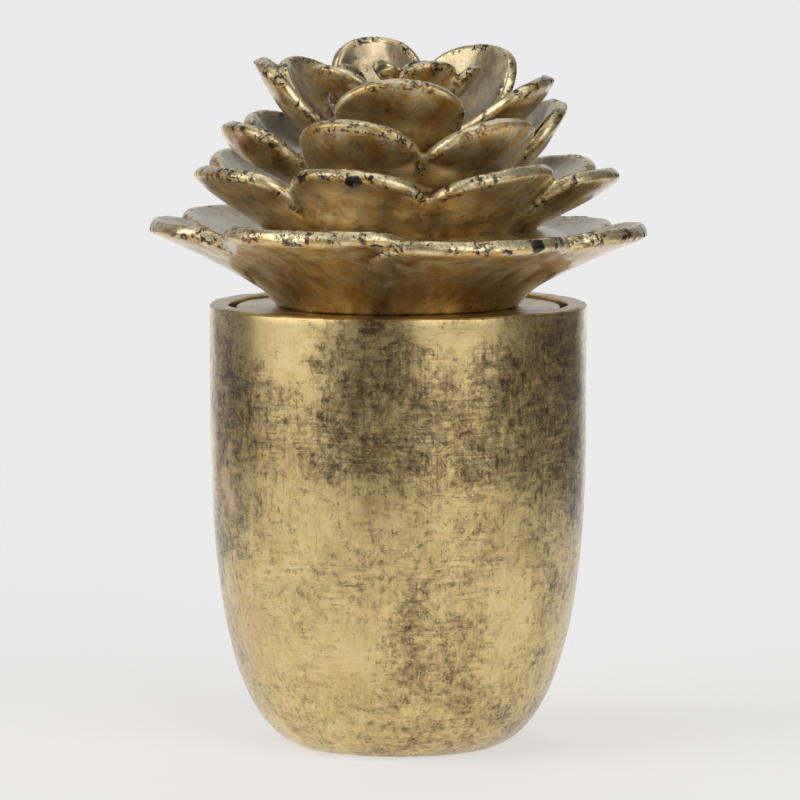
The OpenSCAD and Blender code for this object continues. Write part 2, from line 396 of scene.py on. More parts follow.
def joined(name, parts, voxel, seed, unevenness, fill):
    """One closed skin round overlapping closed parts, each (points, faces), in millimetres.
    Gives the object, its points and normals, and how far each point lies in a hollow."""
    points, faces, start = [], [], 0
    for part_points, part_faces in parts:
        points.append(part_points)
        faces += [tuple(start + i for i in face) for face in part_faces]
        start += len(part_points)
    rough = bpy.data.meshes.new("rough")
    rough.from_pydata(np.concatenate(points).tolist(), [], faces)
    holder = bpy.data.objects.new("rough", rough)
    bpy.context.scene.collection.objects.link(holder)
    remesh = holder.modifiers.new("remesh", "REMESH")
    remesh.mode = "VOXEL"
    remesh.voxel_size = voxel
    bpy.context.view_layer.update()
    depsgraph = bpy.context.evaluated_depsgraph_get()
    mesh = bpy.data.meshes.new_from_object(holder.evaluated_get(depsgraph))
    bpy.data.objects.remove(holder)
    bpy.data.meshes.remove(rough)
    mesh.name = name

    count = len(mesh.vertices)
    co = np.empty(count * 3)
    mesh.vertices.foreach_get("co", co)
    co = co.reshape(-1, 3)
    edges = np.empty(len(mesh.edges) * 2, np.int32)
    mesh.edges.foreach_get("vertices", edges)
    edges = edges.reshape(-1, 2)
    for _ in range(POLISH_ROUNDS):
        co = smoothed(co, edges, 1, POLISH_IN)
        co = smoothed(co, edges, 1, POLISH_OUT)
    co = smoothed(co, edges, 1, 0.5)

    def normals():
        mesh.vertices.foreach_set("co", co.ravel())
        mesh.update()
        n = np.empty(count * 3)
        mesh.vertices.foreach_get("normal", n)
        return n.reshape(-1, 3)

    n = normals()
    # fill the creases where two petals meet, as a thick lacquer does
    hollow = ((smoothed(co, edges, CREASE_ROUNDS[0]) - co) * n).sum(1)
    crease = fill * smoothstep(hollow, *CREASE_DEPTH)[:, None]
    co = co + crease * (smoothed(co, edges, CREASE_ROUNDS[1]) - co)
    co = smoothed(co, edges, 2, 0.4)
    n = normals()
    co = co + n * uneven(co, unevenness, seed)[:, None]
    n = normals()
    hollow = ((smoothed(co, edges, HOLLOW_ROUNDS) - co) * n).sum(1)
    mesh.vertices.foreach_set("co", (co * MM).ravel())
    mesh.polygons.foreach_set("use_smooth", [True] * len(mesh.polygons))
    mesh.update()
    piece = bpy.data.objects.new(name, mesh)
    bpy.context.scene.collection.objects.link(piece)
    return piece, co, n, hollow


ON_PETAL = (2.0, 4.0)            # distance from the nearest petal where the skin is no longer its own
RIM = (1.0, 2.8)                 # distance from the petal's edge where the worn lip fades out
RIM_START = (0.15, 0.5)          # and how far along the petal it sets in


def whorl(index, name, style, rows, core, voxel, seed):
    """A ring of petals grown into a turned core. Each row is (azimuth in degrees from +X, reach,
    height above the lid, width) and, where the petal differs from the style, a dict of that."""
    petals = [Petal(style, *row[:4], **(row[4] if len(row) > 4 else {})) for row in rows]
    parts = [(petal.points, petal.faces) for petal in petals]
    parts.append(turned(core, HUB_ROUNDS))
    piece, co, n, hollow = joined(name, parts, voxel, seed, style["uneven"], style.get("fill", 1.0))

    drawn = np.concatenate([petal.points for petal in petals])
    tree = kdtree.KDTree(len(drawn))
    for k, point in enumerate(drawn):
        tree.insert(point, k)
    tree.balance()
    gap = np.concatenate([petal.gap for petal in petals])
    along = np.concatenate([petal.along for petal in petals])
    face = np.concatenate([petal.face for petal in petals])
    found = [tree.find(point) for point in co]
    nearest = np.array([item[1] for item in found])
    far = np.array([item[2] for item in found])
    on_petal = 1 - smoothstep(far, *ON_PETAL)
    rim = (1 - smoothstep(gap[nearest], *RIM)) * on_petal * smoothstep(along[nearest], *RIM_START)
    facing = (n * face[nearest]).sum(1)
    set_attribute(piece, "rim", rim)
    set_attribute(piece, "upper", facing * on_petal)
    set_attribute(piece, "along", along[nearest] * on_petal)
    set_attribute(piece, "hollow", hollow)
    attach(piece, "lid")
    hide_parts(WHORLS[index])
    return piece


def hub(index, shape):
    """A core's profile, from [(radius, height above the seat)] upwards, round the stud's hole."""
    base = SEAT_Z[index]
    profile = [(HOLE_R, base)] + [(r, base + z) for r, z in shape] + [(HOLE_R, base + shape[-1][1])]
    return profile[::-1]


base_style = {
    "root": [30, SEAT_Z[0] + 3, 42], "tip_rise": 30, "pulls": [0.30, 0.30], "cup": 0.36, "lip": 2.0,
    "edge": 1.8, "keel": 1.0, "heel": 3.0, "dish": 0.10, "widest": 0.55, "root_width": 0.75, "blunt": 2.4,
    "uneven": [(0.30, 16), (0.12, 6)],
}
base_rows = [
    (-169, 66.3, 24.0, 49), (-115, 65.5, 24.3, 54, {"blunt": 2.8}), (-68, 65.0, 21.8, 54, {"blunt": 2.8}),
    (-18, 67.5, 23.0, 49), (38, 64.5, 21.5, 50), (91, 63.5, 22.5, 50), (143, 65.0, 24.5, 49),
]
base_hub = hub(0, [
    (32, 0), (32.6, 0.8), (33.6, 1.9), (35.4, 3.9), (38.0, 6.3), (41.2, 9.0), (44.5, 11.4), (47, 13.6),
    (47.5, 15.6), (46, 17.6), (43, 19.2), (39, 20.4), (36, 20.7),
])

second_style = {
    "root": [28, SEAT_Z[1] - 2.2, 34], "tip_rise": 47, "pulls": [0.36, 0.30], "cup": 0.42, "lip": 1.95,
    "edge": 1.7, "keel": 1.2, "heel": 2.0, "dish": 0.10, "widest": 0.52, "root_width": 0.86, "blunt": 2.4,
    "uneven": [(0.25, 14), (0.10, 5)], "fill": 0.6,
}
second_rows = [
    (-159, 55, 38.5, 44, {"roll": 4}), (-105, 51.5, 39.5, 38, {"roll": -6}),
    (-54, 53.5, 39.5, 41, {"roll": 7}), (-10, 58.8, 37.5, 38, {"roll": -6}),
    (34, 59.5, 38.5, 38), (90, 54.0, 39.0, 40), (146, 56.0, 40.5, 39),
]
second_hub = hub(1, [(33, -1.5), (35.0, 0), (35.8, 2), (35, 6), (27, 11.5)])

third_style = {
    "root": [21, SEAT_Z[2] - 0.5, 22], "tip_rise": 68, "pulls": [0.42, 0.36], "cup": 0.50, "lip": 1.9,
    "edge": 1.65, "keel": 1.2, "heel": 2.0, "dish": 0.10, "widest": 0.60, "root_width": 0.80, "blunt": 2.4,
    "uneven": [(0.22, 12), (0.10, 5)],
}
third_rows = [
    (-168, 46.5, 49.5, 33, {"roll": 8}), (-107, 44.0, 51.5, 34, {"roll": -6}),
    (-53, 46.5, 51.5, 37, {"roll": 9}), (6, 44.5, 54.5, 36, {"roll": 4}),
    (55, 44.0, 52.0, 34), (103, 44.0, 52.0, 34), (151, 43.5, 51.0, 33),
]
third_hub = hub(2, [(27, -0.8), (28.5, 1.5), (29.5, 4), (27, 8), (18.5, 10)])

fourth_style = {
    "root": [13, SEAT_Z[3] - 0.3, 18], "tip_rise": 66, "pulls": [0.40, 0.36], "cup": 0.58, "lip": 1.75,
    "edge": 1.5, "keel": 1.0, "heel": 1.6, "dish": 0.10, "widest": 0.62, "root_width": 0.78, "blunt": 2.3,
    "uneven": [(0.20, 10), (0.08, 4)],
}
fourth_rows = [
    (-176, 38.0, 66.0, 30, {"roll": -4}), (-89, 34.0, 61.8, 34, {"cup": 0.30, "blunt": 1.7, "roll": -2}),
    (-12, 41.5, 61.5, 31), (43, 34.0, 68.5, 35, {"cup": 0.45}), (105, 28.0, 70.5, 27),
    (150, 34.0, 65.5, 29),
]
fourth_hub = hub(3, [(18.5, 0), (21.5, 1.5), (22.5, 4), (18, 7.5), (11.5, 9)])

inner_style = {
    "root": [7.5, SEAT_Z[4] + 0.3, 25], "tip_rise": 68, "pulls": [0.40, 0.35], "cup": 0.65, "lip": 1.35,
    "edge": 1.1, "keel": 0.8, "heel": 0.6, "dish": 0.08, "widest": 0.60, "root_width": 0.78, "blunt": 2.2,
    "uneven": [(0.15, 8), (0.06, 3)],
}
inner_rows = [
    (-148, 24.5, 64.5, 21), (-56, 18.5, 65.5, 19), (-12, 22.0, 64.0, 14), (60, 16.0, 64.5, 16),
    (162, 17.0, 64.0, 16),
]
inner_hub = hub(4, [(11.5, 0), (13, 1.2), (12, 3), (5.5, 5)])

bud_style = {
    "root": [1.0, SEAT_Z[5] + 1.5, 40], "tip_rise": 100, "pulls": [0.45, 0.40], "cup": 1.0, "lip": 0.9,
    "edge": 0.8, "keel": 0.6, "heel": 0.3, "dish": 0.10, "widest": 0.60, "root_width": 0.70, "blunt": 2.2,
    "uneven": [(0.08, 5)],
}
bud_z = SEAT_Z[5] - LID_Z
bud_rows = [(-100, 7.2, bud_z + 7, 9), (20, 7, bud_z + 8, 8.5), (140, 7, bud_z + 8.5, 8.5)]
bud_hub = [
    (0, SEAT_Z[5] + 5.2), (2.2, SEAT_Z[5] + 5), (4.6, SEAT_Z[5] + 3), (5.5, SEAT_Z[5] + 0.4),
    (5.2, SEAT_Z[5]), (0, SEAT_Z[5]),
]

# the last two are the voxel size in millimetres and the seed of the surface's noise
whorl_pieces = [
    whorl(0, "base_petals", base_style, base_rows, base_hub, 0.7, 11),
    whorl(1, "second_petals", second_style, second_rows, second_hub, 0.6, 12),
    whorl(2, "third_petals", third_style, third_rows, third_hub, 0.5, 13),
    whorl(3, "fourth_petals", fourth_style, fourth_rows, fourth_hub, 0.45, 14),
    whorl(4, "inner_petals", inner_style, inner_rows, inner_hub, 0.33, 15),
    whorl(5, "bud_petals", bud_style, bud_rows, bud_hub, 0.25, 16),
]


# ---- The stud and its nut ----

ROD_ROUNDS = 48
ROWS_PER_TURN = 8
PITCH = 1.0
THREAD_DEPTH = 0.55
THREAD_FLANK = (0.1, 0.9)        # part of the half pitch that the flank takes
ROD_CHAMFER = 0.6
NUT_ROUNDS = 96
NUT_INSETS = (0, 0.2, 0.4, 0.7)  # heights of the rings in the nut's turned-off corners
NUT_FACE_SHARE = 0.96            # radius of its flat face, as a share of the half width across flats
NUT_SLOPE = 1.73
NUT_CHAMFER = 0.4                # at the ends of the hole


def tube(rows, closed):
    """Points and faces of rings stacked one after another, each (radii, z).
    A closed one ends where it starts, and an open one gets a flat cap at both ends."""
    around = len(rows[0][0])
    angles = np.arange(around) * 2 * math.pi / around
    points = np.concatenate([
        np.column_stack([radii * np.cos(angles), radii * np.sin(angles), np.full(around, z)])
        for radii, z in rows
    ])
    faces = []
    for i in range(len(rows) if closed else len(rows) - 1):
        here, there = i * around, (i + 1) % len(rows) * around
        for k in range(around):
            n = (k + 1) % around
            faces.append((here + k, here + n, there + n, there + k))
    if not closed:
        faces += [tuple(range(around))[::-1], tuple(range(len(points) - around, len(points)))]
    return points, faces


def threaded_rod(bottom, top, radius):
    """A right-hand thread, with both ends chamfered."""
    turns = np.arange(ROD_ROUNDS) / ROD_ROUNDS
    rows = []
    for z in np.linspace(bottom, top, int((top - bottom) / PITCH * ROWS_PER_TURN) + 1):
        crest = np.abs(2 * ((z / PITCH - turns) % 1) - 1)
        radii = radius - THREAD_DEPTH * (1 - smoothstep(crest, *THREAD_FLANK))
        rows.append((np.minimum(radii, radius - ROD_CHAMFER + min(z - bottom, top - z)), z))
    return tube(rows, closed=False)


def hexagon_nut(bottom, top, corner_r, hole):
    """A nut with a corner on +X and its corners turned off to a cone at both faces."""
    angles = np.radians(np.arange(NUT_ROUNDS) * 360 / NUT_ROUNDS)
    flat_r = corner_r * math.cos(math.radians(30))
    outline = flat_r / np.cos(angles % math.radians(60) - math.radians(30))
    rows = []
    for inset in NUT_INSETS:
        rows.append((np.minimum(outline, NUT_FACE_SHARE * flat_r + NUT_SLOPE * inset), bottom + inset))
    rows += [(radii, top + bottom - z) for radii, z in rows[::-1]]
    for radius, z in ((hole + NUT_CHAMFER, top), (hole, top - NUT_CHAMFER),
                      (hole, bottom + NUT_CHAMFER), (hole + NUT_CHAMFER, bottom)):
        rows.append((np.full(NUT_ROUNDS, float(radius)), z))
    return tube(rows, closed=True)


def fixing(name, node, shape):
    piece = make_object(name, *shape, FIXING_SMOOTH_ANGLE)
    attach(piece, "lid")
    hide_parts(node)
    return piece


stud_low, stud_high = box_mm("centre_stud")
nut_low, nut_high = box_mm("clamp_nut")
stud_r = stud_high[0]
stud = fixing("threaded_stud", "centre_stud", threaded_rod(stud_low[2], stud_high[2], stud_r))
nut = fixing("hexagon_nut", "clamp_nut", hexagon_nut(nut_low[2], nut_high[2], nut_high[0], stud_r))


# ---- Materials ----

class Nodes:
    """Makes a material's nodes. A value may be a number, a colour, or another node's output."""

    def __init__(self, tree):
        self.tree = tree
        self.nodes = tree.nodes
        self.nodes.clear()

    def set(self, socket, value):
        if isinstance(value, bpy.types.NodeSocket):
            self.tree.links.new(value, socket)
        elif isinstance(value, (tuple, list)) and socket.type == "RGBA" and len(value) == 3:
            socket.default_value = (*value, 1)
        else:
            socket.default_value = value

    def add(self, kind, inputs=(), **settings):
        node = self.nodes.new(kind)
        for key, value in settings.items():
            setattr(node, key, value)
        for key, value in dict(inputs).items():
            self.set(node.inputs[key], value)
        return node

    def math(self, operation, a, b=None, c=None, clamp=False):
        node = self.add("ShaderNodeMath", operation=operation, use_clamp=clamp)
        for socket, value in zip(node.inputs, (a, b, c)):
            if value is not None:
                self.set(socket, value)
        return node.outputs[0]

    def times(self, a, b):
        return self.math("MULTIPLY", a, b)

    def times_plus(self, a, b, c):
        """a times b, plus c."""
        return self.math("MULTIPLY_ADD", a, b, c)

    def vmath(self, operation, a, b=None, scale=None):
        node = self.add("ShaderNodeVectorMath", operation=operation)
        self.set(node.inputs[0], a)
        if b is not None:
            self.set(node.inputs[1], b)
        if scale is not None:
            self.set(node.inputs["Scale"], scale)
        return node.outputs[0]

    def noise(self, vector, size, detail=3.0, roughness=0.55, distortion=0.0, offset=None):
        """Smooth noise round 0.5, with features of about this size in millimetres."""
        if offset is not None:
            vector = self.vmath("ADD", vector, offset)
        return self.add("ShaderNodeTexNoise", {
            "Vector": vector, "Scale": 1 / size, "Detail": detail, "Roughness": roughness,
            "Distortion": distortion,
        }).outputs[0]

    def colours(self, vector, size, detail=3.0):
        """Three noises at once, each about 0, as a vector."""
        node = self.add("ShaderNodeTexNoise", {"Vector": vector, "Scale": 1 / size, "Detail": detail})
        return self.vmath("SUBTRACT", node.outputs["Color"], (0.5, 0.5, 0.5))

    def distance(self, a, b):
        node = self.add("ShaderNodeVectorMath", operation="DISTANCE")
        self.set(node.inputs[0], a)
        self.set(node.inputs[1], b)
        return node.outputs["Value"]

    def ramp(self, value, low, high, out_low=0.0, out_high=1.0, smooth=True):
        """From out_low to out_high while the value goes from low to high."""
        node = self.add("ShaderNodeMapRange", {
            "Value": value, "From Min": low, "From Max": high, "To Min": out_low, "To Max": out_high,
        }, interpolation_type="SMOOTHSTEP" if smooth else "LINEAR")
        return node.outputs[0]

    def separate(self, vector):
        return self.add("ShaderNodeSeparateXYZ", {0: vector}).outputs

    def mix(self, amount, a, b, blend="MIX"):
        node = self.add("ShaderNodeMix", data_type="RGBA", blend_type=blend, clamp_factor=True)
        self.set(node.inputs["Factor"], amount)
        self.set(node.inputs["A"], a)
        self.set(node.inputs["B"], b)
        return node.outputs["Result"]

    def value(self, amount, a, b):
        """The number a where the amount is 0, and b where it is 1."""
        node = self.add("ShaderNodeMix", data_type="FLOAT", clamp_factor=True)
        self.set(node.inputs[0], amount)
        self.set(node.inputs[2], a)
        self.set(node.inputs[3], b)
        return node.outputs[0]

    def attribute(self, name):
        return self.add("ShaderNodeAttribute", attribute_name=name).outputs["Fac"]

    def stops(self, value, colours):
        """A colour from a list of [(value, colour)]."""
        node = self.add("ShaderNodeValToRGB", {"Fac": value})
        elements = node.color_ramp.elements
        while len(elements) < len(colours):
            elements.new(0.5)
        for element, (at, colour) in zip(elements, colours):
            element.position = at
            element.color = (*colour, 1)
        return node.outputs["Color"]

    def lines(self, vector, size, width, detail=2.0, distortion=0.0, offset=None):
        """Thin crooked lines where a noise crosses its middle value, 1 on the line."""
        n = self.noise(vector, size, detail, 0.6, distortion, offset)
        return self.ramp(self.math("ABSOLUTE", self.math("SUBTRACT", n, 0.5)), 0, width, 1, 0)


def material(name):
    made = bpy.data.materials.new(name)
    made.use_nodes = True
    return made, Nodes(made.node_tree)


def finish_material(nodes, shader_inputs, bump, bump_distance):
    """The shader and its output, with a bump whose distance is in metres."""
    shader = nodes.add("ShaderNodeBsdfPrincipled", shader_inputs)
    height = nodes.add("ShaderNodeBump", {"Strength": 1.0, "Distance": bump_distance, "Height": bump})
    nodes.set(shader.inputs["Normal"], height.outputs[0])
    output = nodes.add("ShaderNodeOutputMaterial")
    nodes.set(output.inputs["Surface"], shader.outputs[0])


def position(nodes):
    """Where the point is, in millimetres."""
    coordinates = nodes.add("ShaderNodeTexCoord").outputs["Object"]
    return nodes.vmath("SCALE", coordinates, scale=1000.0)


# Patches of the pot's leaf: degrees from the front, half width in degrees, height, half height.
# First where it is darker and where it is brighter, each with how much. These are partly rubbed and whole
# leaf, and partly painted shade below and between the lamps' reflections and a painted highlight under the
# rim.
RUBBED_AND_SHADED = [
    (-6, 18, 98, 24, 0.9), (55, 27, 91, 24, 0.95), (-66, 16, 96, 16, 0.7), (-72, 12, 66, 12, 0.6),
    (-30, 24, 91, 15, 0.55), (22, 26, 93, 15, 0.6), (16, 12, 38, 18, 0.3), (150, 30, 80, 30, 0.8),
    (-140, 28, 60, 30, 0.7), (100, 20, 70, 26, 0.5),
]
WHOLE_AND_HIGHLIT = [
    (-34, 18, 112, 9, 1.0), (20, 13, 112, 9, 1.0), (-25, 26, 35, 22, 0.35), (45, 22, 30, 16, 0.2),
    (-100, 25, 95, 18, 0.6), (175, 22, 40, 18, 0.6),
]
# then where the ochre ground shows
BARE = [(-68, 9, 72, 8, 1.0), (-62, 12, 34, 9, 0.6), (-80, 8, 88, 16, 0.7)]
RUB_AND_SHADE_DEPTH = 0.62
WHOLE_AND_HIGHLIGHT_DEPTH = 0.45
LEAST_WEAR_AND_SHADE, MOST_WEAR_AND_SHADE = 0.05, 0.80
PATCH_WANDER = (60.0, 55.0)      # how far noise shifts a patch's edges, in degrees and in millimetres
PATCH_FADE = (0.2, 1.6)          # shares of the half size where a patch starts to fade and is gone
DARKEST_LEAF = 0.12

# Scratches: angle to the horizontal, length, depth, offset of the noise, and the limit they start at
SCRATCHES = [
    (0, 7, 7, (3, 61, 0), 0.66), (90, 8, 0.55, (8, 80, 0), 0.67), (40, 6, 0.55, (1, 50, 0), 0.68),
    (-38, 6, 0.55, (70, 5, 0), 0.68),
]
SCRATCH_WIDTH = 0.55

# Colours of the leaf from its bare ground to its brightest
POT_TONES = [
    (0.0, (0.030, 0.021, 0.012)), (0.22, (0.14, 0.094, 0.044)), (0.45, (0.38, 0.275, 0.128)),
    (0.70, (0.755, 0.570, 0.250)), (0.88, (0.89, 0.70, 0.345)), (1.0, (0.90, 0.78, 0.50)),
]
PETAL_TONES = [
    (0.0, (0.022, 0.019, 0.018)), (0.22, (0.12, 0.085, 0.05)), (0.42, (0.36, 0.26, 0.14)),
    (0.65, (0.63, 0.49, 0.265)), (0.85, (0.82, 0.68, 0.38)), (1.0, (0.92, 0.80, 0.51)),
]
ROSE_CAST = (0.86, 0.70, 0.56)
GREEN_CAST = (0.84, 0.87, 0.66)
VERDIGRIS = (0.25, 0.42, 0.33)
OCHRE_GROUND = (0.66, 0.445, 0.215)
OCHRE_CAST = (0.76, 0.58, 0.32)
AMBER_CAST = (0.98, 0.74, 0.30)
UNDER_SHADE_AND_CAST = (0.84, 0.78, 0.68)
BLOOM = (0.36, 0.345, 0.32)
PAINTED_TOP_REFLECTION = (0.40, 0.36, 0.335)


def pot_material():
    made, n = material("pot_leaf_aged")
    p = position(n)
    x, y, z = n.separate(p)
    # round the pot, in degrees from the front
    degrees = n.times(n.math("ARCTAN2", x, n.times(y, -1.0)), 180 / math.pi)
    sideways = n.math("SUBTRACT", n.noise(p, 14, 5, 0.65), 0.5)
    upwards = n.math("SUBTRACT", n.noise(p, 14, 5, 0.65, offset=(31, 7, 3)), 0.5)
    wander = n.times_plus(sideways, PATCH_WANDER[0], degrees)
    rise = n.times_plus(upwards, PATCH_WANDER[1], z)

    def patch(azimuth, half_width, height, half_height):
        aside = n.math("ABSOLUTE", n.math("WRAP", n.math("SUBTRACT", wander, azimuth), 180.0, -180.0))
        above = n.math("ABSOLUTE", n.math("SUBTRACT", rise, height))
        start, end = PATCH_FADE
        return n.times(n.ramp(aside, half_width * start, half_width * end, 1, 0),
                       n.ramp(above, half_height * start, half_height * end, 1, 0))

    wear_and_painted_light = n.ramp(n.noise(p, 26, 4, 0.6, offset=(5, 9, 2)), 0.35, 0.68, 0.18, 0.50)
    # the patches darken and brighten the leaf: real rubbed and whole leaf, plus painted shade below and
    # between the lamps' reflections and a painted highlight under the rim
    for *place, amount in RUBBED_AND_SHADED:
        wear_and_painted_light = n.times_plus(patch(*place), amount * RUB_AND_SHADE_DEPTH, wear_and_painted_light)
    for *place, amount in WHOLE_AND_HIGHLIT:
        wear_and_painted_light = n.times_plus(patch(*place), -amount * WHOLE_AND_HIGHLIGHT_DEPTH, wear_and_painted_light)
    wear_and_painted_light = n.math("MINIMUM", n.math("MAXIMUM", wear_and_painted_light, LEAST_WEAR_AND_SHADE), MOST_WEAR_AND_SHADE)

    # soft mottling and streaks of the rubbed leaf, with the patches' painted shade and highlight, from 0,
    # bare, to 1, bright
    cloud = n.ramp(n.noise(p, 15, 3, 0.5, offset=(0, 0, 30)), 0.3, 0.7, smooth=False)
    blotch = n.ramp(n.noise(p, 4.2, 4, 0.6, 0.5, offset=(7, 1, 3)), 0.30, 0.70)
    grain = n.ramp(n.noise(p, 1.7, 2, 0.6, 0.4, offset=(3, 3, 3)), 0.30, 0.70)

    def streaks(angle, length, width, offset, depth=None):
        """Streaks at an angle to the horizontal, as seen from the front or the back."""
        rotated = n.add("ShaderNodeVectorRotate", {"Vector": p, "Angle": math.radians(angle)},
                        rotation_type="Y_AXIS").outputs[0]
        stretched = n.vmath("MULTIPLY", rotated, (1 / length, 1 / (depth or width), 1 / width))
        return n.noise(stretched, 1.0, 2.0, 0.55, 0.25, offset)

    upright = n.ramp(streaks(90, 9, 0.9, (8, 20, 0)), 0.36, 0.64)
    level = n.ramp(streaks(0, 8, 0.8, (3, 1, 0), 8), 0.36, 0.64)
    weave = n.value(n.ramp(n.noise(p, 12, 2, offset=(60, 6, 0)), 0.42, 0.58), upright, level)
    patchy = n.math("ADD", n.times(blotch, 0.42), n.times(grain, 0.26))
    patchy = n.times_plus(weave, 0.32, patchy)
    faded_and_shaded = n.times_plus(wear_and_painted_light, -0.40, -0.18)
    tone = n.times_plus(n.math("SUBTRACT", 1.0, patchy), faded_and_shaded, 0.78)
    tone = n.times_plus(cloud, 0.14, tone)
    tone = n.times_plus(wear_and_painted_light, -0.06, tone)

    # dark dashes where the leaf has cracked or was scratched, of uneven strength
    coarse = n.lines(p, 4.2, 0.070, 3.0, 0.9)
    fine = n.lines(p, 2.0, 0.110, 2.0, 0.6, offset=(17, 3, 8))
    broken = n.ramp(n.times_plus(wear_and_painted_light, 0.34, n.noise(p, 1.8, 2, offset=(2, 40, 6))), 0.56, 0.78)
    broken_fine = n.ramp(n.times_plus(wear_and_painted_light, 0.34, n.noise(p, 2.4, 2, offset=(9, 4, 61))), 0.58, 0.78)
    dashes = n.math("MAXIMUM", n.times(coarse, broken), n.times(fine, broken_fine))
    for angle, length, depth, offset, limit in SCRATCHES:
        scratch = n.times_plus(wear_and_painted_light, 0.12, streaks(angle, length, SCRATCH_WIDTH, offset, depth))
        dashes = n.math("MAXIMUM", dashes, n.ramp(scratch, limit, limit + 0.10))
    uneven_strength = n.ramp(n.noise(p, 2.4, 2, offset=(33, 9, 9)), 0.3, 0.7, 0.25, 1.0)
    dashes = n.times(dashes, uneven_strength)
    stain = n.times_plus(wear_and_painted_light, 0.26, n.noise(p, 5.0, 4, 0.6, 0.4, offset=(50, 2, 2)))
    tone = n.times_plus(dashes, -0.34, tone)
    tone = n.times_plus(n.ramp(stain, 0.60, 0.90), -0.08, tone)
    tone = n.math("MAXIMUM", tone, DARKEST_LEAF)

    # the leaf's colour, with faint casts and a little verdigris
    colour = n.stops(tone, POT_TONES)
    rose = n.ramp(n.noise(p, 8, 3, offset=(12, 7, 5)), 0.52, 0.72, 0, 0.35)
    colour = n.mix(rose, colour, ROSE_CAST, "MULTIPLY")
    greenish = n.ramp(n.noise(p, 11, 3, offset=(22, 1, 15)), 0.50, 0.70, 0, 0.35)
    colour = n.mix(greenish, colour, GREEN_CAST, "MULTIPLY")
    spots = n.ramp(n.noise(p, 6, 3, offset=(90, 30, 12)), 0.68, 0.80, 0, 0.45)
    colour = n.mix(spots, colour, VERDIGRIS)

    ground = 0.0
    for *place, amount in BARE:
        ground = n.math("MAXIMUM", ground, n.times(patch(*place), amount))
    ground = n.times(ground, n.ramp(n.noise(p, 5, 4, 0.6, offset=(70, 3, 4)), 0.40, 0.54))
    colour = n.mix(ground, colour, OCHRE_GROUND)
    rough = n.ramp(tone, 0.1, 0.9, 0.44, 0.27, smooth=False)
    bump = n.times_plus(tone, 0.8, n.times(n.noise(p, 3.0, 4, 0.6), 0.5))
    finish_material(n, {
        "Base Color": colour, "Roughness": rough, "Metallic": n.times_plus(ground, -0.7, 1.0),
        "Coat Weight": 0.6, "Coat Roughness": 0.16, "Coat IOR": 1.5, "IOR": 1.5,
    }, bump, 0.00007)
    return made


# Large dark chips in the petals' lips: degrees from the front, radius, height above the lid, size
CHIPS = [
    (34, 65, 19.5, 3.0), (-13, 52, 35.1, 2.9), (31, 58, 37.0, 2.4), (205, 60, 21, 2.4), (120, 50, 36, 2.0),
]

# Painted shade and painted highlights on the petals, where they look darker or brighter: as above, then
# the change of tone
PAINTED_LIGHT_SPOTS = [(-148, 21, 60, 13, -0.28), (137, 38, 60, 14, 0.20), (38, 48, 44, 16, 0.13), (2, 32, 56, 15, 0.13)]

FLAT_R = 45                      # marks on the flat petals are drawn as if on a drum of this radius,
FLAT_HEIGHT = (14, 24)           # below these heights above the lid,
FLAT_SHARE = 0.75                # by this much


def place_on_petals(azimuth, radius, rise):
    """A point from degrees from the front, radius and height above the lid."""
    turn = math.radians(azimuth)
    return (radius * math.sin(turn), -radius * math.cos(turn), LID_Z + rise)


